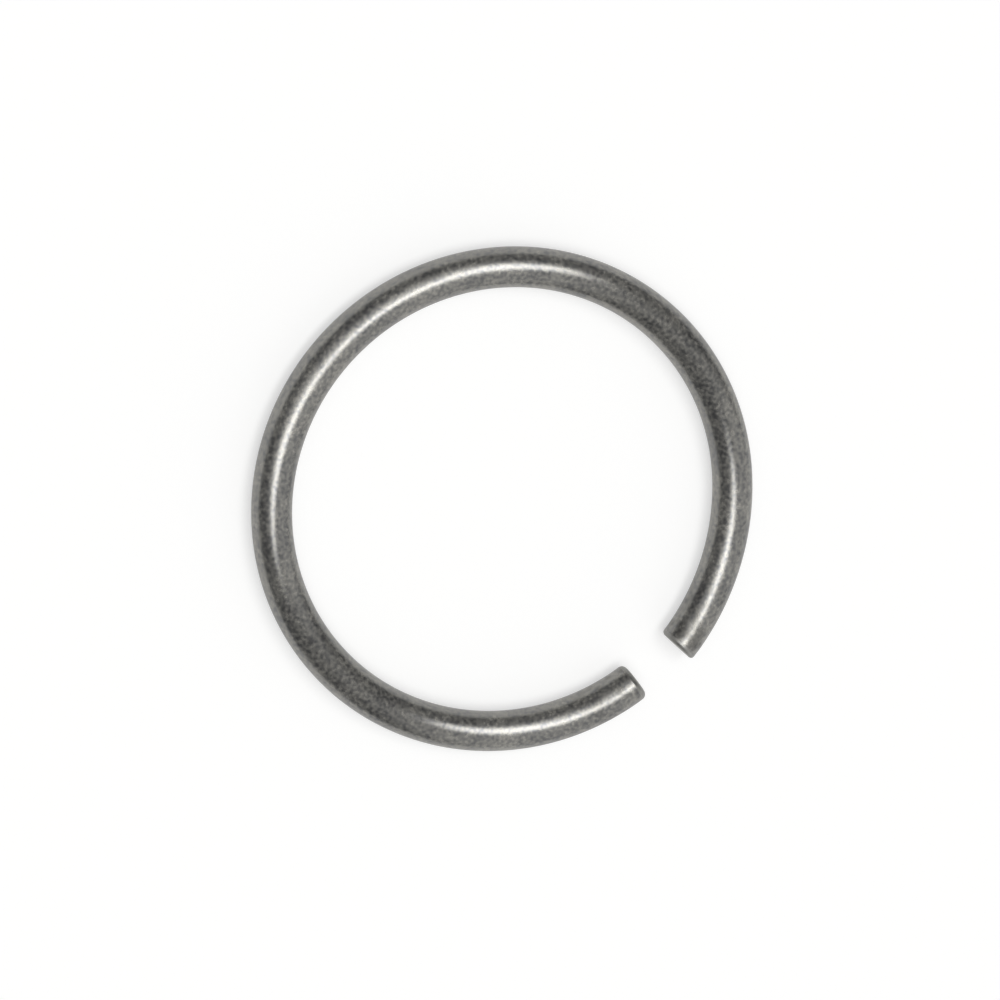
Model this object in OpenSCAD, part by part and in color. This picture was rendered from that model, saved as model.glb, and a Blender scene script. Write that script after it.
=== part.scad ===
// Round wire retaining ring for a groove in a shaft. One length of hard-drawn spring steel wire is
// coiled to an open circle and sheared off at both ends, and tumbling has rounded the cut edges.
// The ring lies flat in the XY plane with its centre at the origin, and its gap opens towards +Y.
// At these sizes it fits a shaft of 24 mm with a round-bottomed groove 22 mm across.

/* [Wire] */
// Diameter of the wire
wire_d = 2.0; // [0.8:0.1:3.2]

/* [Ring] */
// Inside diameter of the free ring
inner_d = 21.4; // [12:0.2:60]
// Gap between the middles of the two cut faces
gap_w = 2.65; // [1.5:0.05:6]

/* [Straighter end] */
// Angle of wire that came off the coiler straighter, at the end on the left of the gap
tail_arc = 44; // [10:1:80]
// How much larger its bend radius is than the ring's
tail_extra_r = 0.8; // [0.1:0.1:3]
// Angle by which the shears left its cut face off square, with the outside of the wire longer
face_skew = 5; // [0:0.5:8]

/* [Cut edges] */
// Rounding of the edge at the right-hand end
right_edge_r = 0.3; // [0.05:0.05:0.35]
// Rounding of the edge at the left-hand end
left_edge_r = 0.2; // [0.05:0.05:0.35]

/* [Hidden] */
$fn = 96;

wire_r = wire_d / 2;
ring_r = inner_d / 2 + wire_r;
tail_r = ring_r + tail_extra_r;

// The ring turns into its tail on the X axis of a frame of their own, with the tail going clockwise.
// Where the middle of its cut face lies there says how far that frame is turned.
tail_centre = [ring_r - tail_r, 0];
left_face = tail_centre + tail_r * [cos(tail_arc), -sin(tail_arc)];
left_face_at = 90 + asin(gap_w / 2 / norm(left_face));
right_face_at = 90 - asin(gap_w / 2 / ring_r);
tail_start = left_face_at - atan2(left_face.y, left_face.x);
ring_arc = 360 + right_face_at - tail_start;

// Both ends of the wire run past their cut face by this much before they are cut
spare_l = gap_w / 4 + wire_r * tan(face_skew);
cut_l = 1.5 * spare_l;
cut_r = 1.5 * wire_r;

// Rounding of a cut edge, in shares of its radius: how far in from the wire's wall its arc leaves the
// face, and the direction from its centre at which it runs out in a straight flare past the wall
arc_inset = 0.94;
flare_dir = [0.96, 0.28];
flare_l = wire_r / 2;

// Bent wire from the X axis, anticlockwise for a positive sweep
module bent_wire(bend_r, sweep) {
    rotate_extrude(angle = sweep, $fn = 360) translate([bend_r, 0]) circle(r = wire_r);
}

// What shears and tumbling take off a wire that comes up the Z axis, with its cut face at the origin
module end_cut(edge_r) {
    arc_centre = [wire_r - arc_inset * edge_r, -edge_r];
    arc_end = arc_centre + edge_r * flare_dir;
    flare_end = arc_end + flare_l * [flare_dir.y, -flare_dir.x];
    rotate_extrude() difference() {
        polygon([
            [0, 0], [0, cut_l], [cut_r, cut_l], [cut_r, 0], [flare_end.x, 0],
            flare_end, arc_end, arc_centre, [arc_centre.x, 0]
        ]);
        translate(arc_centre) circle(r = edge_r);
    }
}

module right_cut() {
    rotate([0, 0, ring_arc]) translate([ring_r, 0, 0]) rotate([-90, 0, 0]) end_cut(right_edge_r);
}

module left_cut() {
    translate(left_face) rotate([0, 0, -tail_arc - face_skew]) rotate([90, 0, 0]) end_cut(left_edge_r);
}

module retaining_ring() {
    color("#86837e") rotate([0, 0, tail_start]) difference() {
        union() {
            bent_wire(ring_r, ring_arc + spare_l / ring_r * 180 / PI);
            translate(tail_centre) bent_wire(tail_r, -tail_arc - spare_l / tail_r * 180 / PI);
        }
        right_cut();
        left_cut();
    }
}

retaining_ring();
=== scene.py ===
import math

import bmesh
import bpy
from bpy.props import FloatProperty, FloatVectorProperty, IntProperty, PointerProperty, StringProperty
from mathutils import Matrix, Vector


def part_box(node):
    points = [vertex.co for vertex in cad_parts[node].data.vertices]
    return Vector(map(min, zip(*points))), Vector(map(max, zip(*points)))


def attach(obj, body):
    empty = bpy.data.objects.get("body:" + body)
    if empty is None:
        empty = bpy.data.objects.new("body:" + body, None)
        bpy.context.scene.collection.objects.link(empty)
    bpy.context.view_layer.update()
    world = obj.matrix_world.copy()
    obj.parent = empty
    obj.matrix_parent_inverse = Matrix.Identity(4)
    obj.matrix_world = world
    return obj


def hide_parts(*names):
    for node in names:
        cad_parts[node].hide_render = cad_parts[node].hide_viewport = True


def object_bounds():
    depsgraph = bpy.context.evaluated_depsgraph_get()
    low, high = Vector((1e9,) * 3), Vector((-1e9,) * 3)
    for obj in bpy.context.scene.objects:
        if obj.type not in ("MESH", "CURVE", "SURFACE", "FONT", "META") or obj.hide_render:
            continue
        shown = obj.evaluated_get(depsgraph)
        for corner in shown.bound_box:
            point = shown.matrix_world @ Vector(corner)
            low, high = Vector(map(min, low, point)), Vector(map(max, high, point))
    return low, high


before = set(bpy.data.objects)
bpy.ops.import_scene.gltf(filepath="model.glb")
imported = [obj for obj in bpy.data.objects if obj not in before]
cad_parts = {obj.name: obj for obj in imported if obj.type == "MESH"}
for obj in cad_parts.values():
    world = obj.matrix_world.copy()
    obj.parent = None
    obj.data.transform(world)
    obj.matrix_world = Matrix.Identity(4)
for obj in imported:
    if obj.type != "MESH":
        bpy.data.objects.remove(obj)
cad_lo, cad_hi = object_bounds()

bl_info = {
    "name": "Round wire retaining ring",
    "version": (1, 0, 0),
    "blender": (4, 5, 0),
    "location": "3D View > Sidebar > Retaining ring",
    "description": "A retaining ring of round spring steel wire on a pale floor in soft light",
    "category": "Mesh",
}

MM = 0.001
NODE = "retaining_ring"

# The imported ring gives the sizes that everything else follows: its thickness is the wire's, and its
# left edge, half a turn from the gap, is its outside radius.
node_lo, node_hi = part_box(NODE)
WIRE_D = node_hi[2] - node_lo[2]
RING_R = -node_lo[0] - WIRE_D / 2


class RingSizes(bpy.types.PropertyGroup):
    """Sizes of the bent and sheared wire."""

    wire_d: FloatProperty(
        name="Wire diameter", description="Diameter of the drawn wire",
        default=WIRE_D, min=0.5 * MM, unit="LENGTH", subtype="DISTANCE", precision=5,
    )
    ring_r: FloatProperty(
        name="Ring radius", description="Radius of the middle of the wire, with the ring free",
        default=RING_R, min=4 * MM, unit="LENGTH", subtype="DISTANCE", precision=5,
    )
    gap_w: FloatProperty(
        name="Gap", description="Distance between the middles of the two cut faces",
        default=2.65 * MM, min=0.5 * MM, unit="LENGTH", subtype="DISTANCE", precision=5,
    )
    tail_arc: FloatProperty(
        name="Straighter end", description="Angle of wire that came off the coiler straighter",
        default=math.radians(44), unit="ROTATION", subtype="ANGLE",
    )
    tail_extra_r: FloatProperty(
        name="Extra radius", description="How much larger the straighter end's bend radius is",
        default=0.8 * MM, unit="LENGTH", subtype="DISTANCE", precision=5,
    )
    face_skew: FloatProperty(
        name="Skew of the cut", description="How far off square the straighter end's cut face is",
        default=math.radians(5), unit="ROTATION", subtype="ANGLE",
    )
    right_edge_r: FloatProperty(
        name="Right edge", description="Rounding of the cut edge at the right-hand end",
        default=0.3 * MM, unit="LENGTH", subtype="DISTANCE", precision=5,
    )
    left_edge_r: FloatProperty(
        name="Left edge", description="Rounding of the cut edge at the left-hand end",
        default=0.2 * MM, unit="LENGTH", subtype="DISTANCE", precision=5,
    )
    section_sides: IntProperty(
        name="Sides round the wire", description="Faces round the wire's section",
        default=96, min=12,
    )
    step_l: FloatProperty(
        name="Step along the wire", description="Length of one face along the wire",
        default=0.2 * MM, min=0.05 * MM, unit="LENGTH", subtype="DISTANCE", precision=5,
    )


class RingFinish(bpy.types.PropertyGroup):
    """Colours and grain of the steel."""

    steel: StringProperty(
        name="Steel", description="Colour of the smooth steel between the pores, as sRGB hex",
        default="757575",
    )
    film: StringProperty(
        name="Oxide film", description="Colour of the dull film left in the pores, as sRGB hex",
        default="9d9b95",
    )
    smut: StringProperty(
        name="Smut", description="Colour of the smut in the dents near the ends, as sRGB hex",
        default="4c4a46",
    )
    sheared: StringProperty(
        name="Sheared steel", description="Colour of the bare cut face, as sRGB hex",
        default="a9a8a4",
    )
    mottle_w: FloatProperty(
        name="Mottle", description="Width of one speck of film and the clear steel beside it",
        default=0.19 * MM, unit="LENGTH", subtype="DISTANCE", precision=5,
    )
    draw_line_w: FloatProperty(
        name="Draw lines", description="Width of one line left by the drawing die",
        default=0.08 * MM, unit="LENGTH", subtype="DISTANCE", precision=5,
    )
    dent_w: FloatProperty(
        name="Dents", description="Width of one shallow dent from the tumbling barrel",
        default=0.6 * MM, unit="LENGTH", subtype="DISTANCE", precision=5,
    )
    scuffed_l: FloatProperty(
        name="Scuffed ends", description="Length of wire before each cut that the shears' jaws scuffed",
        default=4.7 * MM, unit="LENGTH", subtype="DISTANCE", precision=5,
    )
    peened_l: FloatProperty(
        name="Peened edges", description="Length of wire before each cut that tumbling peened dull",
        default=0.325 * MM, unit="LENGTH", subtype="DISTANCE", precision=5,
    )


class StageLook(bpy.types.PropertyGroup):
    """Floor, light and camera."""

    azimuth: FloatProperty(
        name="Azimuth", description="Where the camera stands, anticlockwise from the side facing the gap",
        default=math.radians(5.1), unit="ROTATION", subtype="ANGLE",
    )
    elevation: FloatProperty(
        name="Elevation", description="Height of the camera above the horizon",
        default=math.radians(70.32), unit="ROTATION", subtype="ANGLE",
    )
    roll: FloatProperty(
        name="Roll", description="Turn of the camera about its own line of sight",
        default=math.radians(131.45), unit="ROTATION", subtype="ANGLE",
    )
    distance: FloatProperty(
        name="Distance", description="From the camera to the ring's centre",
        default=0.3, unit="LENGTH", subtype="DISTANCE",
    )
    frame_w: FloatProperty(
        name="Frame width", description="Width of the view at the ring's centre",
        default=49.13 * MM, unit="LENGTH", subtype="DISTANCE", precision=5,
    )
    aim: FloatVectorProperty(
        name="Aim", description="Where the ring's centre lies in the view, right and up of its middle",
        size=2, default=(0.205 * MM, -0.04 * MM), unit="LENGTH", subtype="XYZ", precision=5,
    )
    floor_colour: StringProperty(
        name="Floor", description="Colour of the table top, as sRGB hex",
        default="c8c8c7",
    )
    floor_lift: FloatProperty(
        name="Floor lift", description="Added to the floor where it is seen or mirrored, where 1 is white",
        default=0.55, min=0.0, max=1.0,
    )
    lamp_distance: FloatProperty(
        name="Lamp distance", description="From the ring's centre to the strip lamp",
        default=1.5, unit="LENGTH", subtype="DISTANCE",
    )
    lamp_size: FloatVectorProperty(
        name="Lamp size", description="Width and length of the strip lamp as seen from the ring",
        size=2, default=(math.radians(16), math.radians(51)), unit="ROTATION", subtype="EULER",
    )
    lamp_lean: FloatVectorProperty(
        name="Lamp lean", description="How far the lamp is off the zenith, away from the camera and left",
        size=2, default=(math.radians(7), math.radians(6)), unit="ROTATION", subtype="EULER",
    )
    lamp_bend: FloatProperty(
        name="Lamp bend", description="Angle by which each half of the strip bends towards the camera",
        default=math.radians(22), unit="ROTATION", subtype="ANGLE",
    )
    lamp_white: FloatProperty(
        name="Lamp", description="Brightness of the strip lamp, where 1 is white",
        default=4.4, min=0.0,
    )
    reflector_gap: FloatProperty(
        name="Reflector gap", description="From the strip lamp back to its reflector",
        default=0.2, unit="LENGTH", subtype="DISTANCE",
    )
    reflector_size: FloatVectorProperty(
        name="Reflector size", description="Width and length of the reflector as seen from the ring",
        size=2, default=(math.radians(32), math.radians(55)), unit="ROTATION", subtype="EULER",
    )
    reflector_lean: FloatVectorProperty(
        name="Reflector lean", description="How far it is off the zenith, away from the camera and left",
        size=2, default=(math.radians(-6), math.radians(6)), unit="ROTATION", subtype="EULER",
    )
    reflector_white: FloatProperty(
        name="Reflector", description="Brightness of the reflector, where 1 is white",
        default=0.95, min=0.0,
    )
    glow_white: FloatProperty(
        name="Glow", description="Brightness that the lit ceiling adds to the room, where 1 is white",
        default=0.6, min=0.0,
    )
    glow_lean: FloatProperty(
        name="Glow lean", description="How far the glow's middle is off the zenith, away from the camera",
        default=math.radians(-18), unit="ROTATION", subtype="ANGLE",
    )
    glow_edge: FloatVectorProperty(
        name="Glow's edge", description="Angles off the glow's middle where it starts and stops to fade",
        size=2, default=(0.0, math.radians(36)), unit="ROTATION", subtype="EULER",
    )
    wall_white: FloatProperty(
        name="Wall", description="Brightness that the wall beyond the ring adds, where 1 is white",
        default=0.65, min=0.0,
    )
    wall_lean: FloatProperty(
        name="Wall lean", description="How far the wall's middle is off the zenith, away from the camera",
        default=math.radians(66), unit="ROTATION", subtype="ANGLE",
    )
    wall_edge: FloatVectorProperty(
        name="Wall's edge", description="Angles off the wall's middle where it starts and stops to fade",
        size=2, default=(math.radians(33), math.radians(52)), unit="ROTATION", subtype="EULER",
    )
    room_white: FloatProperty(
        name="Room", description="Brightness of the rest of the room, where 1 is white",
        default=0.24, min=0.0,
    )


def linear(code):
    """An sRGB hex colour as linear RGBA."""
    parts = [int(code[i:i + 2], 16) / 255 for i in (0, 2, 4)]
    return [c / 12.92 if c <= 0.04045 else ((c + 0.055) / 1.055) ** 2.4 for c in parts] + [1.0]


def add_node(tree, kind, inputs=None, **settings):
    """Adds a node with its settings. An input given as another node's socket is linked, and any other
    value is set on the input's own socket."""
    node = tree.nodes.new(kind)
    for name, value in settings.items():
        setattr(node, name, value)
    for key, value in (inputs or {}).items():
        if isinstance(value, bpy.types.NodeSocket):
            tree.links.new(value, node.inputs[key])
        else:
            node.inputs[key].default_value = value
    return node


def new_material(name):
    """An empty node material and its output node."""
    mat = bpy.data.materials.new(name)
    mat.use_nodes = True
    mat.node_tree.nodes.clear()
    return mat, mat.node_tree, add_node(mat.node_tree, "ShaderNodeOutputMaterial")


def drawn_spring_steel(finish, cut_l):
    """Hard-drawn spring steel wire, coiled, sheared, tumbled and oiled. The die leaves faint lines
    along the wire. Tumbling burnishes its high spots, leaves shallow dents, and leaves a dull grey
    oxide film in the pores. It gives a satin dark grey metal with a fine pale mottle and a clean,
    bright highlight. The patterns follow the length along the wire, which is cut_l at both cuts."""
    mat, tree, out = new_material("drawn_spring_steel")
    place = add_node(tree, "ShaderNodeAttribute", attribute_name="along_wire")
    specks = add_node(
        tree, "ShaderNodeTexNoise",
        {"Vector": place.outputs["Vector"], "Scale": 1 / finish.mottle_w, "Detail": 1.0,
         "Roughness": 0.4},
    )
    clouds = add_node(
        tree, "ShaderNodeTexNoise",
        {"Vector": place.outputs["Vector"], "Scale": 1 / (8 * finish.mottle_w), "Detail": 1.0},
    )
    dents = add_node(
        tree, "ShaderNodeTexNoise",
        {"Vector": place.outputs["Vector"], "Scale": 1 / finish.dent_w, "Detail": 1.0},
    )
    # The shears' jaws dent the last few millimetres of each end
    along = add_node(tree, "ShaderNodeSeparateXYZ", {0: place.outputs["Vector"]})
    from_middle = add_node(tree, "ShaderNodeMath", {0: along.outputs["X"]}, operation="ABSOLUTE")
    scuffed = add_node(
        tree, "ShaderNodeMapRange",
        {"Value": from_middle.outputs[0], "From Min": cut_l - finish.scuffed_l,
         "From Max": cut_l - 0.15 * finish.scuffed_l},
    )
    # The film is thicker in clouds some eight specks wide, and in the bottoms of the dents
    dip = add_node(
        tree, "ShaderNodeMapRange", {"Value": dents.outputs["Fac"], "To Min": 0.5, "To Max": -0.5},
    )
    patches = add_node(
        tree, "ShaderNodeMath",
        {0: dip.outputs["Result"], 1: 0.15, 2: specks.outputs["Fac"]}, operation="MULTIPLY_ADD",
    )
    grain = add_node(
        tree, "ShaderNodeMath", {0: clouds.outputs["Fac"], 1: 0.4, 2: patches.outputs[0]},
        operation="MULTIPLY_ADD",
    )
    film = add_node(
        tree, "ShaderNodeMapRange", {"Value": grain.outputs[0], "From Min": 0.47, "From Max": 0.93},
    )
    colour = add_node(
        tree, "ShaderNodeMix",
        {0: film.outputs["Result"], 6: linear(finish.steel), 7: linear(finish.film)},
        data_type="RGBA",
    )
    # Dark smut stays in the dents that the jaws left
    smut = add_node(
        tree, "ShaderNodeMapRange",
        {"Value": dip.outputs["Result"], "From Min": -0.02, "From Max": 0.13, "To Max": 0.42},
    )
    stain = add_node(
        tree, "ShaderNodeMath", {0: smut.outputs["Result"], 1: scuffed.outputs["Result"]},
        operation="MULTIPLY",
    )
    stained = add_node(
        tree, "ShaderNodeMix", {0: stain.outputs[0], 6: colour.outputs[2], 7: linear(finish.smut)},
        data_type="RGBA",
    )
    # Tumbling peens the rounded cut edges bare and dull
    peened = add_node(
        tree, "ShaderNodeMapRange",
        {"Value": from_middle.outputs[0], "From Min": cut_l - finish.peened_l,
         "From Max": cut_l - 0.25 * finish.peened_l, "To Max": 0.75},
    )
    bared = add_node(
        tree, "ShaderNodeMix",
        {0: peened.outputs["Result"], 6: stained.outputs[2], 7: linear(finish.sheared)},
        data_type="RGBA",
    )
    metal = add_node(
        tree, "ShaderNodeMapRange", {"Value": film.outputs["Result"], "To Min": 1.0, "To Max": 0.72},
    )
    metallic = add_node(
        tree, "ShaderNodeMath", {0: peened.outputs["Result"], 1: -0.3, 2: metal.outputs["Result"]},
        operation="MULTIPLY_ADD",
    )
    rough = add_node(
        tree, "ShaderNodeMapRange", {"Value": film.outputs["Result"], "To Min": 0.22, "To Max": 0.25},
    )
    dulled = add_node(
        tree, "ShaderNodeMath", {0: peened.outputs["Result"], 1: 0.25, 2: rough.outputs["Result"]},
        operation="MULTIPLY_ADD",
    )
    # Die lines are a few hundredths of a millimetre wide, too fine to show, so they are drawn coarser
    lines = add_node(
        tree, "ShaderNodeMapping", {"Vector": place.outputs["Vector"], "Scale": (0.03, 1, 1)},
    )
    line_noise = add_node(
        tree, "ShaderNodeTexNoise",
        {"Vector": lines.outputs["Vector"], "Scale": 1 / finish.draw_line_w, "Detail": 2.0},
    )
    # Heights in millimetres: the dents, deeper where the shears held the wire, and the die lines
    dent_h = add_node(
        tree, "ShaderNodeMapRange", {"Value": scuffed.outputs[0], "To Min": 0.003, "To Max": 0.009},
    )
    dented = add_node(
        tree, "ShaderNodeMath", {0: dents.outputs["Fac"], 1: dent_h.outputs["Result"]},
        operation="MULTIPLY",
    )
    relief = add_node(
        tree, "ShaderNodeMath", {0: line_noise.outputs["Fac"], 1: 0.0002, 2: dented.outputs[0]},
        operation="MULTIPLY_ADD",
    )
    bump = add_node(
        tree, "ShaderNodeBump", {"Height": relief.outputs[0], "Strength": 1.0, "Distance": MM},
    )
    # The die lines run round the ring and spread a reflection across the wire, a quarter turn from them
    round_ring = add_node(tree, "ShaderNodeTangent", direction_type="RADIAL", axis="Z")
    steel = add_node(
        tree, "ShaderNodeBsdfPrincipled",
        {"Base Color": bared.outputs[2], "Metallic": metallic.outputs[0],
         "Roughness": dulled.outputs[0], "Normal": bump.outputs["Normal"],
         "Specular Tint": (0.9, 0.9, 0.9, 1), "Anisotropic": 0.8, "Anisotropic Rotation": 0.25,
         "Tangent": round_ring.outputs[0]},
    )
    tree.links.new(steel.outputs[0], out.inputs["Surface"])
    return mat


def sheared_spring_steel(finish):
    """The bare cut face of the same wire. Shears burnish the upper part of it that they cut and tear
    the rest, so it is brighter than the wire's wall, glossier above and duller below, with fine marks
    in the direction of the cut."""
    mat, tree, out = new_material("sheared_spring_steel")
    place = add_node(tree, "ShaderNodeAttribute", attribute_name="along_wire")
    marks = add_node(
        tree, "ShaderNodeMapping", {"Vector": place.outputs["Vector"], "Scale": (1, 1, 0.12)},
    )
    mark_noise = add_node(
        tree, "ShaderNodeTexNoise",
        {"Vector": marks.outputs["Vector"], "Scale": 1 / finish.draw_line_w, "Detail": 4.0},
    )
    colour = add_node(
        tree, "ShaderNodeMix",
        {0: mark_noise.outputs["Fac"], 6: linear(finish.film), 7: linear(finish.sheared)},
        data_type="RGBA",
    )
    height = add_node(tree, "ShaderNodeSeparateXYZ", {0: place.outputs["Vector"]})
    rough = add_node(
        tree, "ShaderNodeMapRange",
        {"Value": height.outputs["Z"], "From Min": -0.25 * MM, "From Max": 0.15 * MM,
         "To Min": 0.48, "To Max": 0.26},
    )
    bump = add_node(
        tree, "ShaderNodeBump",
        {"Height": mark_noise.outputs["Fac"], "Strength": 0.5, "Distance": 0.03 * MM},
    )
    steel = add_node(
        tree, "ShaderNodeBsdfPrincipled",
        {"Base Color": colour.outputs[2], "Metallic": 1.0, "Roughness": rough.outputs["Result"],
         "Normal": bump.outputs["Normal"]},
    )
    tree.links.new(steel.outputs[0], out.inputs["Surface"])
    return mat


class RING_OT_wire(bpy.types.Operator):
    """Bend the wire round to a ring, shear its two ends and round their edges"""

    bl_idname = "retaining_ring.wire"
    bl_label = "Ring"

    def execute(self, context):
        sizes = context.scene.ring_sizes
        finish = context.scene.ring_finish
        wire_r = sizes.wire_d / 2 / MM
        ring_r = sizes.ring_r / MM
        gap_w = sizes.gap_w / MM
        tail_r = ring_r + sizes.tail_extra_r / MM
        tail_centre = Vector((ring_r - tail_r, 0, 0))

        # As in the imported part, the ring turns into its tail on the X axis of a frame of their own
        left_face = tail_centre + tail_r * Vector((math.cos(sizes.tail_arc), -math.sin(sizes.tail_arc), 0))
        left_at = math.pi / 2 + math.asin(gap_w / 2 / left_face.length)
        right_at = math.pi / 2 - math.asin(gap_w / 2 / ring_r)
        tail_start = left_at - math.atan2(left_face.y, left_face.x)
        ring_arc = math.tau + right_at - tail_start

        bm = bmesh.new()
        bmesh.ops.create_circle(
            bm, cap_ends=False, segments=sizes.section_sides, radius=wire_r,
            matrix=Matrix.Translation((ring_r, 0, 0)) @ Matrix.Rotation(math.pi / 2, 4, "X"),
        )
        section = bm.edges[:]
        step_l = sizes.step_l / MM
        right_end = self.bend(bm, section, Vector(), ring_r, ring_arc, step_l)
        left_end = self.bend(bm, section, tail_centre, tail_r, -sizes.tail_arc, step_l)

        right_middle = ring_r * Vector((math.cos(ring_arc), math.sin(ring_arc), 0))
        right_way = Vector((-math.sin(ring_arc), math.cos(ring_arc), 0))
        left_turn = sizes.tail_arc + sizes.face_skew
        left_way = Vector((-math.sin(left_turn), -math.cos(left_turn), 0))
        self.shear(bm, right_end, right_middle, right_way, sizes.right_edge_r / MM)
        self.shear(bm, left_end, left_face, left_way, sizes.left_edge_r / MM)

        bmesh.ops.remove_doubles(bm, verts=bm.verts, dist=1e-4)
        bmesh.ops.rotate(bm, verts=bm.verts, cent=(0, 0, 0), matrix=Matrix.Rotation(tail_start, 3, "Z"))
        bmesh.ops.recalc_face_normals(bm, faces=bm.faces)
        bmesh.ops.scale(bm, verts=bm.verts, vec=(MM, MM, MM))
        for face in bm.faces:
            face.smooth = True

        self.mark_along_wire(bm, sizes)

        mesh = bpy.data.meshes.new("round_wire_ring")
        bm.to_mesh(mesh)
        bm.free()
        ring = bpy.data.objects.new("round_wire_ring", mesh)
        context.collection.objects.link(ring)
        cut_l = math.pi * sizes.ring_r - sizes.gap_w / 2
        mesh.materials.append(drawn_spring_steel(finish, cut_l))
        mesh.materials.append(sheared_spring_steel(finish))
        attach(ring, "root")
        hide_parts(NODE)
        return {"FINISHED"}

    def bend(self, bm, section, centre, bend_r, sweep, step_l):
        """Spins the section about the centre to just short of the sweep's end, and then one long step
        past it, whose faces are returned for the cut."""
        # In millimetres, and more than the skewed cut needs either way
        short_l = 0.5
        past_l = 0.4
        way = math.copysign(1, sweep)
        body = sweep - way * short_l / bend_r
        steps = round(abs(body) * bend_r / step_l)
        turned = bmesh.ops.spin(
            bm, geom=section, cent=centre, axis=(0, 0, 1), angle=body, steps=steps, use_merge=False,
        )["geom_last"]
        before = set(bm.faces)
        edges = [item for item in turned if isinstance(item, bmesh.types.BMEdge)]
        bmesh.ops.spin(
            bm, geom=edges, cent=centre, axis=(0, 0, 1), angle=way * (short_l + past_l) / bend_r,
            steps=1, use_merge=False,
        )
        return [face for face in bm.faces if face not in before]

    def shear(self, bm, faces, middle, way, edge_r):
        """Cuts the last faces of the wire with a plane through the middle of the cut and square to the
        way given, closes the end and rounds its edge."""
        geom = set(faces)
        for face in faces:
            geom.update(face.edges, face.verts)
        cut = bmesh.ops.bisect_plane(
            bm, geom=list(geom), plane_co=middle, plane_no=way, clear_outer=True, dist=1e-5,
        )["geom_cut"]
        rim = [item for item in cut if isinstance(item, bmesh.types.BMEdge)]
        end_face = bmesh.ops.contextual_create(bm, geom=rim)["faces"][0]
        bmesh.ops.bevel(
            bm, geom=rim, offset=edge_r, offset_type="OFFSET", segments=6, profile=0.5,
            affect="EDGES", material=-1,
        )
        # The bevel makes the end face anew, and no other face has its middle there
        end_face = min(bm.faces, key=lambda face: (face.calc_center_median() - middle).length)
        end_face.material_index = 1
        # The tear leaves the face a hundredth or two of a millimetre proud in the middle
        crown_step = 0.12
        for rise in (0.004, 0.008, 0.006):
            bmesh.ops.inset_region(bm, faces=[end_face], thickness=crown_step, depth=rise)

    def mark_along_wire(self, bm, sizes):
        """Stores where each point would be if the wire were straight, for the patterns that follow it:
        its length along the wire from opposite the gap, and its place across the section."""
        layer = bm.verts.layers.float_vector.new("along_wire")
        for vert in bm.verts:
            out = math.hypot(vert.co.x, vert.co.y)
            turn = math.atan2(vert.co.x, -vert.co.y)
            vert[layer] = (turn * sizes.ring_r, out - sizes.ring_r, vert.co.z)


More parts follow.
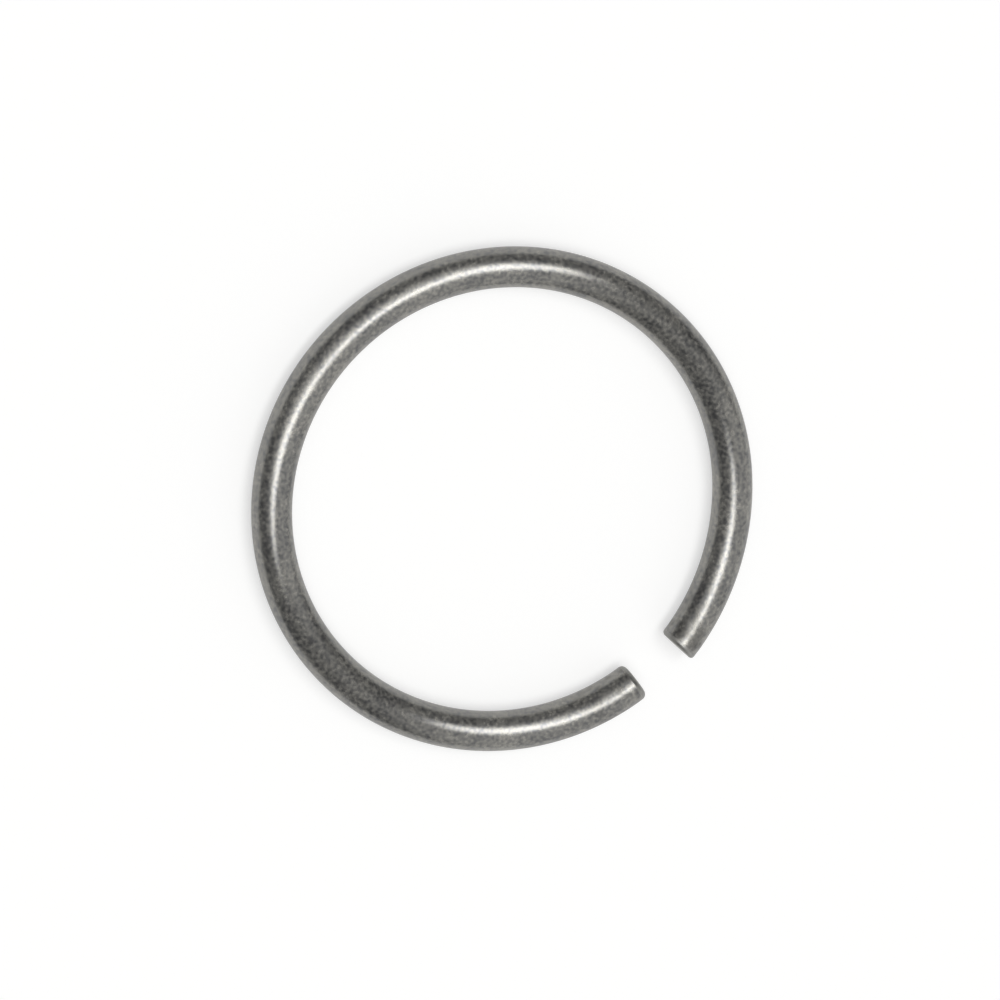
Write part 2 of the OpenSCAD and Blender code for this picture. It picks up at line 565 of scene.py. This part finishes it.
class RING_OT_stage(bpy.types.Operator):
    """Lay the ring on a pale floor under a bent strip lamp and place the camera"""

    bl_idname = "retaining_ring.stage"
    bl_label = "Stage"

    def execute(self, context):
        look = context.scene.stage_look
        far = Vector((-math.sin(look.azimuth), math.cos(look.azimuth), 0))
        left = Vector((0, 0, 1)).cross(far)
        self.floor(context, look)
        self.room(context, look, far)
        # The strip is bent in its middle, so it takes two lamps. Its white reflector hangs behind them
        lean, turn = look.lamp_lean
        wide, long = look.lamp_size
        middle = Vector((0, 0, 1)) + math.tan(lean) * far + math.tan(turn) * left
        for name, side in (("strip_lamp_left", left), ("strip_lamp_right", -left)):
            along = math.cos(look.lamp_bend) * side - math.sin(look.lamp_bend) * far
            across = math.cos(look.lamp_bend) * far + math.sin(look.lamp_bend) * side
            way = middle + math.tan(long / 4) * along
            self.lamp(context, name, way, look.lamp_distance, across, (wide, long / 2), look.lamp_white)
        lean, turn = look.reflector_lean
        way = Vector((0, 0, 1)) + math.tan(lean) * far + math.tan(turn) * left
        behind = look.lamp_distance + look.reflector_gap
        self.lamp(context, "reflector", way, behind, far, look.reflector_size, look.reflector_white)
        self.camera(context, look)
        context.scene.view_settings.view_transform = "Standard"
        return {"FINISHED"}

    def floor(self, context, look):
        """A wide table top, as low as the ring reaches."""
        bm = bmesh.new()
        bmesh.ops.create_grid(
            bm, x_segments=1, y_segments=1, size=2.0, matrix=Matrix.Translation((0, 0, cad_lo[2])),
        )
        mesh = bpy.data.meshes.new("floor")
        bm.to_mesh(mesh)
        bm.free()
        floor = bpy.data.objects.new("floor", mesh)
        context.collection.objects.link(floor)
        mat, tree, out = new_material("matt_white_table")
        paint = add_node(
            tree, "ShaderNodeBsdfDiffuse", {"Color": linear(look.floor_colour), "Roughness": 0.5},
        )
        path = add_node(tree, "ShaderNodeLightPath")
        seen = add_node(
            tree, "ShaderNodeMath",
            {0: path.outputs["Is Camera Ray"], 1: path.outputs["Is Glossy Ray"]}, operation="MAXIMUM",
        )
        lift = add_node(
            tree, "ShaderNodeMath", {0: seen.outputs[0], 1: look.floor_lift}, operation="MULTIPLY",
        )
        glow = add_node(tree, "ShaderNodeEmission", {"Strength": lift.outputs[0]})
        both = add_node(tree, "ShaderNodeAddShader", {0: paint.outputs[0], 1: glow.outputs[0]})
        tree.links.new(both.outputs[0], out.inputs["Surface"])
        mesh.materials.append(mat)

    def room(self, context, look, far):
        """Room light: dim all round, with a soft glow over the camera and a pale wall beyond the ring."""
        world = bpy.data.worlds.new("room")
        context.scene.world = world
        world.use_nodes = True
        tree = world.node_tree
        tree.nodes.clear()
        way = add_node(tree, "ShaderNodeTexCoord")
        total = look.room_white
        for lean, edge, white in (
            (look.glow_lean, look.glow_edge, look.glow_white),
            (look.wall_lean, look.wall_edge, look.wall_white),
        ):
            middle = math.sin(lean) * far + math.cos(lean) * Vector((0, 0, 1))
            nearness = add_node(
                tree, "ShaderNodeVectorMath", {0: way.outputs["Generated"], 1: middle},
                operation="DOT_PRODUCT",
            )
            patch = add_node(
                tree, "ShaderNodeMapRange",
                {"Value": nearness.outputs["Value"], "From Min": math.cos(edge[1]),
                 "From Max": math.cos(edge[0]), "To Max": white},
                interpolation_type="SMOOTHSTEP",
            )
            total = add_node(tree, "ShaderNodeMath", {0: patch.outputs["Result"], 1: total}).outputs[0]
        sky = add_node(tree, "ShaderNodeBackground", {"Strength": total})
        add_node(tree, "ShaderNodeOutputWorld", {"Surface": sky.outputs[0]})

    def lamp(self, context, name, way, distance, across, size, white):
        """An area lamp that faces the ring from the direction and distance given. Its width lies
        across, and as seen from the ring it fills the two angles in size."""
        wide, long = (2 * distance * math.tan(angle / 2) for angle in size)
        data = bpy.data.lights.new(name, "AREA")
        data.shape = "RECTANGLE"
        data.size = wide
        data.size_y = long
        # A lamp's face is as bright as its power over pi and its area
        data.energy = white * math.pi * wide * long
        lamp = bpy.data.objects.new(name, data)
        back = way.normalized()
        side = back.cross(across).normalized()
        turn = Matrix((side.cross(back), side, back)).transposed()
        lamp.matrix_world = Matrix.Translation(back * distance) @ turn.to_4x4()
        context.collection.objects.link(lamp)

    def camera(self, context, look):
        """A long lens that looks at the ring from its place in the photograph."""
        sin_a, cos_a = math.sin(look.azimuth), math.cos(look.azimuth)
        sin_e, cos_e = math.sin(look.elevation), math.cos(look.elevation)
        back = Vector((sin_a * cos_e, -cos_a * cos_e, sin_e))
        level = Vector((cos_a, sin_a, 0))
        rise = back.cross(level)
        right = math.cos(look.roll) * level + math.sin(look.roll) * rise
        up = back.cross(right)
        data = bpy.data.cameras.new("camera")
        data.sensor_width = 36.0
        data.lens = data.sensor_width * look.distance / look.frame_w
        data.clip_start = 0.01
        data.clip_end = 10.0
        camera = bpy.data.objects.new("camera", data)
        place = back * look.distance - right * look.aim[0] - up * look.aim[1]
        turn = Matrix((right, up, back)).transposed().to_4x4()
        camera.matrix_world = Matrix.Translation(place) @ turn
        context.collection.objects.link(camera)
        context.scene.camera = camera


class RING_PT_panel(bpy.types.Panel):
    """Lists the steps that make the ring and its stage"""

    bl_idname = "RING_PT_panel"
    bl_label = "Retaining ring"
    bl_space_type = "VIEW_3D"
    bl_region_type = "UI"
    bl_category = "Retaining ring"

    def draw(self, context):
        layout = self.layout
        for settings, operator in (
            (context.scene.ring_sizes, None),
            (context.scene.ring_finish, RING_OT_wire),
            (context.scene.stage_look, RING_OT_stage),
        ):
            box = layout.box()
            for name in settings.__annotations__:
                box.prop(settings, name)
            if operator:
                box.operator(operator.bl_idname)


CLASSES = (RingSizes, RingFinish, StageLook, RING_OT_wire, RING_OT_stage, RING_PT_panel)


def register():
    for cls in CLASSES:
        bpy.utils.register_class(cls)
    bpy.types.Scene.ring_sizes = PointerProperty(type=RingSizes)
    bpy.types.Scene.ring_finish = PointerProperty(type=RingFinish)
    bpy.types.Scene.stage_look = PointerProperty(type=StageLook)


def unregister():
    del bpy.types.Scene.stage_look
    del bpy.types.Scene.ring_finish
    del bpy.types.Scene.ring_sizes
    for cls in reversed(CLASSES):
        bpy.utils.unregister_class(cls)


def main():
    register()
    bpy.ops.retaining_ring.wire()
    bpy.ops.retaining_ring.stage()


if __name__ == "__main__":
    main()
